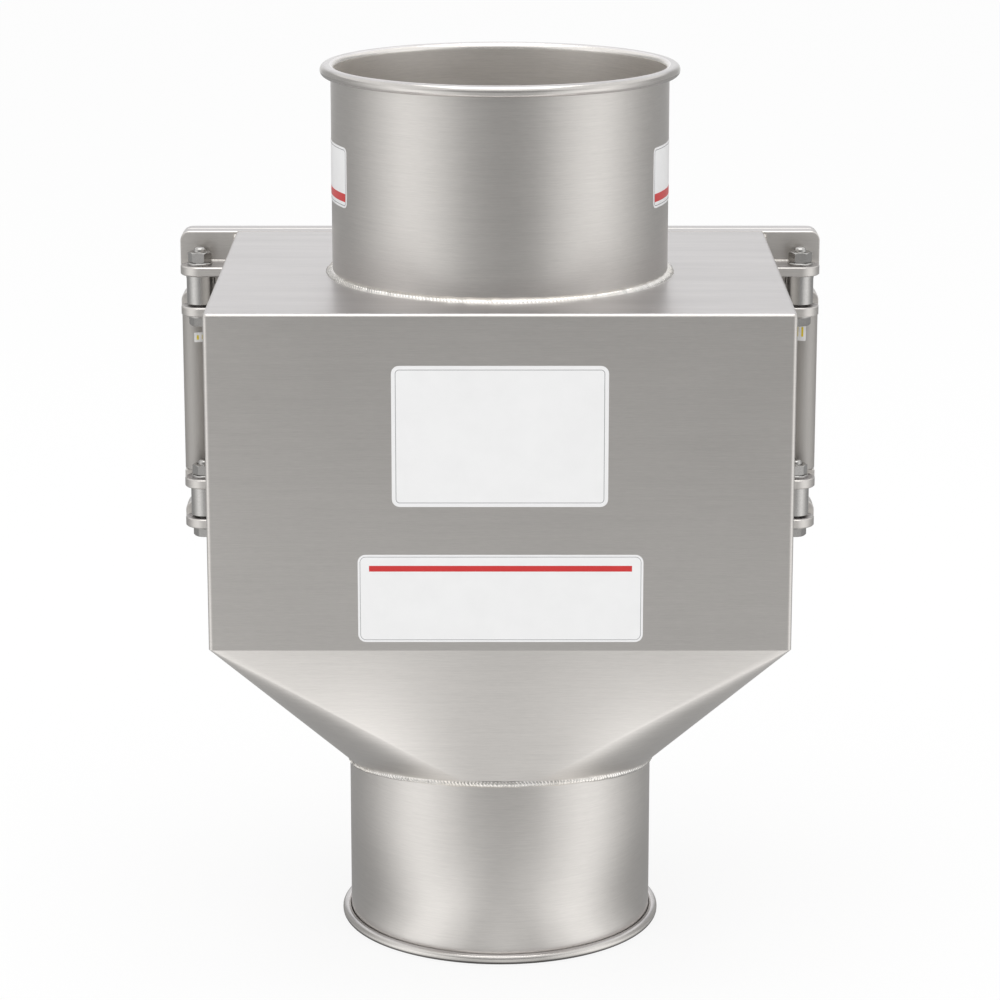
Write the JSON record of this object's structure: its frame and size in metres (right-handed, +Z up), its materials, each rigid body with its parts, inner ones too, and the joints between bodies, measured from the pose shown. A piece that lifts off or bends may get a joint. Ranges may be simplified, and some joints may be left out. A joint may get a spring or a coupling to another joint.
{
  "type": "drawer magnet",
  "caption": "Square sheet-steel housing between two lipped round spouts, with a hopper below and a drawer of magnet bars held by swing bolts at the back.",
  "frame": {"origin": "centre of the outlet's mouth, on the flat of its lip", "axes": "+Z up along the spouts towards the inlet, +Y towards the drawer, X across the housing"},
  "size_m": [0.406, 0.3413, 0.529],
  "materials": {
    "brushed_stainless": "brushed",
    "weld_steel": "rippled weld",
    "fastener_steel": "bright machined",
    "core_steel": "satin",
    "gasket_rubber": "matt silicone",
    "knob_plastic": "moulded"
  },
  "bodies": {
    "frame": {"door_flange": "brushed_stainless", "door_gasket": "gasket_rubber", "door_grip_left": "brushed_stainless", "door_grip_right": "brushed_stainless", "door_plate": "brushed_stainless", "drawer_end_plate": "brushed_stainless", "drawer_rail_left": "brushed_stainless", "drawer_rail_right": "brushed_stainless", "hinge_lugs_lower_left": "brushed_stainless", "hinge_lugs_lower_right": "brushed_stainless", "hinge_lugs_upper_left": "brushed_stainless", "hinge_lugs_upper_right": "brushed_stainless", "hopper": "brushed_stainless", "housing": "brushed_stainless", "inlet_spout": "brushed_stainless", "inlet_weld": "weld_steel", "magnet_sleeve_1": "brushed_stainless", "magnet_sleeve_2": "brushed_stainless", "magnet_sleeve_3": "brushed_stainless", "magnet_sleeve_4": "brushed_stainless", "magnet_sleeve_5": "brushed_stainless", "magnet_sleeve_6": "brushed_stainless", "magnet_sleeve_7": "brushed_stainless", "magnet_sleeve_8": "brushed_stainless", "magnet_sleeve_9": "brushed_stainless", "outlet_spout": "brushed_stainless", "outlet_weld": "weld_steel", "pivot_bolts": "fastener_steel", "pivot_nuts": "fastener_steel", "pivot_washers": "fastener_steel", "runner_left": "brushed_stainless", "runner_right": "brushed_stainless", "side_tube_left": "brushed_stainless", "side_tube_right": "brushed_stainless"},
    "swing_bolt_upper_left": {"swing_bolt_upper_left": "fastener_steel"},
    "knob_upper_left": {"star_knob_upper_left": "knob_plastic", "knob_washer_upper_left": "fastener_steel"},
    "swing_bolt_upper_right": {"swing_bolt_upper_right": "fastener_steel"},
    "knob_upper_right": {"star_knob_upper_right": "knob_plastic", "knob_washer_upper_right": "fastener_steel"},
    "swing_bolt_lower_left": {"swing_bolt_lower_left": "fastener_steel"},
    "knob_lower_left": {"star_knob_lower_left": "knob_plastic", "knob_washer_lower_left": "fastener_steel"},
    "swing_bolt_lower_right": {"swing_bolt_lower_right": "fastener_steel"},
    "knob_lower_right": {"star_knob_lower_right": "knob_plastic", "knob_washer_lower_right": "fastener_steel"},
    "magnet_puller": {"magnet_core_1": "core_steel", "magnet_core_2": "core_steel", "magnet_core_3": "core_steel", "magnet_core_4": "core_steel", "magnet_core_5": "core_steel", "magnet_core_6": "core_steel", "magnet_core_7": "core_steel", "magnet_core_8": "core_steel", "magnet_core_9": "core_steel", "puller_plate": "brushed_stainless", "puller_handle": "brushed_stainless", "core_nuts": "fastener_steel"}
  },
  "joints": [
    {"name": "swing_upper_left", "type": "hinge", "parent": "frame", "child": "swing_bolt_upper_left", "pos_m": [-0.18975, 0.12275, 0.37], "axis": [0, 0, 1], "range_deg": [0, 175]},
    {"name": "knob_turn_upper_left", "type": "hinge", "parent": "swing_bolt_upper_left", "child": "knob_upper_left", "pos_m": [-0.18975, 0.17, 0.3732], "axis": [0, 1, 0], "continuous": true},
    {"name": "swing_upper_right", "type": "hinge", "parent": "frame", "child": "swing_bolt_upper_right", "pos_m": [0.18975, 0.12275, 0.37], "axis": [0, 0, -1], "range_deg": [0, 175]},
    {"name": "knob_turn_upper_right", "type": "hinge", "parent": "swing_bolt_upper_right", "child": "knob_upper_right", "pos_m": [0.18975, 0.17, 0.3732], "axis": [0, 1, 0], "continuous": true},
    {"name": "swing_lower_left", "type": "hinge", "parent": "frame", "child": "swing_bolt_lower_left", "pos_m": [-0.18975, 0.12275, 0.23215], "axis": [0, 0, 1], "range_deg": [0, 175]},
    {"name": "knob_turn_lower_left", "type": "hinge", "parent": "swing_bolt_lower_left", "child": "knob_lower_left", "pos_m": [-0.18975, 0.17, 0.23535], "axis": [0, 1, 0], "continuous": true},
    {"name": "swing_lower_right", "type": "hinge", "parent": "frame", "child": "swing_bolt_lower_right", "pos_m": [0.18975, 0.12275, 0.23215], "axis": [0, 0, -1], "range_deg": [0, 175]},
    {"name": "knob_turn_lower_right", "type": "hinge", "parent": "swing_bolt_lower_right", "child": "knob_lower_right", "pos_m": [0.18975, 0.17, 0.23535], "axis": [0, 1, 0], "continuous": true},
    {"name": "magnet_slide", "type": "slide", "parent": "frame", "child": "magnet_puller", "axis": [0, 1, 0], "range_m": [0, 0.25]}
  ]
}
